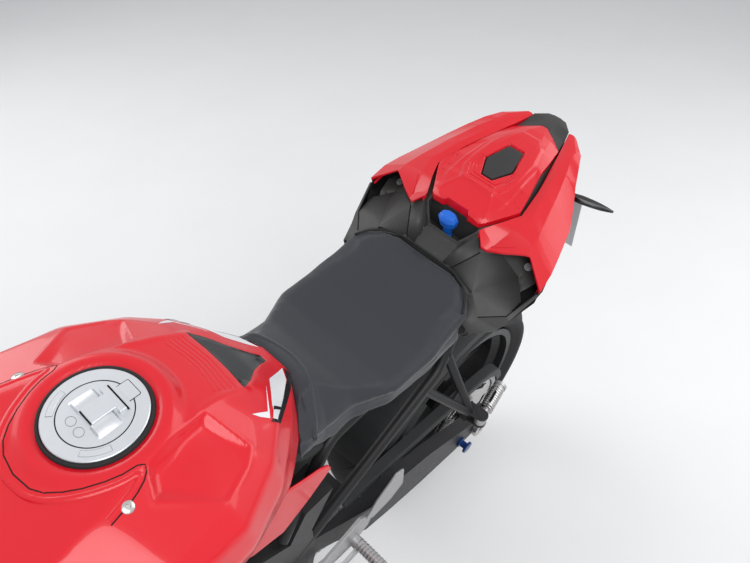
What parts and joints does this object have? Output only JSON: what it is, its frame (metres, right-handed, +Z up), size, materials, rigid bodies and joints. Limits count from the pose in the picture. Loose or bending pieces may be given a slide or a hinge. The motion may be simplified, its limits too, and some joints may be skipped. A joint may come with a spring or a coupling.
{
  "type": "sport motorcycle",
  "caption": "Sport motorcycle with full fairing, broad tank cover, solo seat, humped tail, folding pegs, chain drive and spoked wheels, leaning on its side stand.",
  "frame": {"origin": "on the floor, under the middle of the bounding box", "axes": "+X forward, +Y to the rider's left, +Z up. The motorcycle leans 10.5 degrees toward +Y on its side stand."},
  "size_m": [2.0296, 0.7501, 1.1183],
  "materials": {
    "red_paint": "gloss red over plastic and steel",
    "black_paint": "satin black",
    "cast_alloy": "satin cast aluminium",
    "dark_alloy": "dark anodised aluminium",
    "steel": "brushed",
    "black_plastic": "textured matte black",
    "seat_cover": "smooth matte vinyl",
    "rubber": "matte",
    "tyre": "matte",
    "clear_lens": "clear polycarbonate",
    "tinted_screen": "smoke tinted screen",
    "red_lens": "gloss",
    "blue_plastic": "anodised blue",
    "plate": "blank white"
  },
  "bodies": {
    "chassis": {"frame": "black_paint", "subframe": "black_paint", "engine": "dark_alloy", "radiator": "dark_alloy", "exhaust_headers": "steel", "silencer": "steel", "swingarm": "dark_alloy", "rear_shock": "steel", "rear_axle": "steel", "rear_caliper": "dark_alloy", "rear_hugger": "black_plastic", "drive_chain": "steel", "front_sprocket": "steel", "paddock_spools": "blue_plastic", "fuel_tank": "red_paint", "filler_ring": "cast_alloy", "rider_seat": "seat_cover", "tail_undertray": "black_plastic", "seat_lock_knob": "blue_plastic", "seat_cowl": "red_paint", "pillion_pad": "rubber", "tail_end": "black_plastic", "tail_lamp": "red_lens", "plate_holder": "black_plastic", "number_plate": "plate", "rear_indicators": "black_plastic", "nose_cowl": "red_paint", "headlamps": "clear_lens", "windscreen": "tinted_screen", "belly_pan": "red_paint", "mirrors": "black_plastic", "instrument_panel": "black_plastic", "tail_panel_left": "red_paint", "tail_panel_right": "red_paint", "side_fairing_left": "red_paint", "side_fairing_right": "red_paint", "rearset_left": "cast_alloy", "rearset_right": "cast_alloy", "gear_lever": "cast_alloy", "brake_pedal": "cast_alloy"},
    "side_stand": {"side_stand": "black_paint"},
    "filler_lid": {"filler_lid": "cast_alloy"},
    "peg_left": {"passenger_peg_left": "cast_alloy"},
    "peg_right": {"passenger_peg_right": "cast_alloy"},
    "steering": {"triple_clamps": "dark_alloy", "fork_legs": "cast_alloy", "front_axle": "steel", "front_calipers": "dark_alloy", "front_fender": "red_paint", "clip_on_bars": "black_paint", "grips": "rubber", "bar_controls": "black_plastic"},
    "front_wheel": {"front_rim": "black_paint", "front_tyre": "tyre", "front_brake_discs": "steel"},
    "rear_wheel": {"rear_rim": "black_paint", "rear_tyre": "tyre", "rear_brake_disc": "steel", "rear_sprocket": "steel"}
  },
  "joints": [
    {"name": "steering", "type": "hinge", "parent": "chassis", "child": "steering", "pos_m": [0.44403, -0.02704, 0.81069], "axis": [-0.4147, 0.1658, 0.8947], "range_deg": [-26, 26]},
    {"name": "front_wheel_spin", "type": "hinge", "parent": "steering", "child": "front_wheel", "pos_m": [0.716, -0.12261, 0.29503], "axis": [0, 0.9833, -0.1822], "continuous": true},
    {"name": "rear_wheel_spin", "type": "hinge", "parent": "chassis", "child": "rear_wheel", "pos_m": [-0.684, -0.1196, 0.31132], "axis": [0, 0.9833, -0.1822], "continuous": true},
    {"name": "side_stand_fold", "type": "hinge", "parent": "chassis", "child": "side_stand", "pos_m": [-0.116, 0.02894, 0.22378], "axis": [0.1099, 0.9033, 0.4148], "range_deg": [0, 95]},
    {"name": "filler_lid_open", "type": "hinge", "parent": "chassis", "child": "filler_lid", "pos_m": [0.04368, 0.0069, 0.99381], "axis": [0, -0.9833, 0.1822], "range_deg": [0, 100]},
    {"name": "passenger_peg_left_fold", "type": "hinge", "parent": "chassis", "child": "peg_left", "pos_m": [-0.54, 0.12392, 0.51129], "axis": [0, -0.1822, -0.9833], "range_deg": [0, 100]},
    {"name": "passenger_peg_right_fold", "type": "hinge", "parent": "chassis", "child": "peg_right", "pos_m": [-0.54, -0.27528, 0.58527], "axis": [0, 0.1822, 0.9833], "range_deg": [0, 100]}
  ]
}
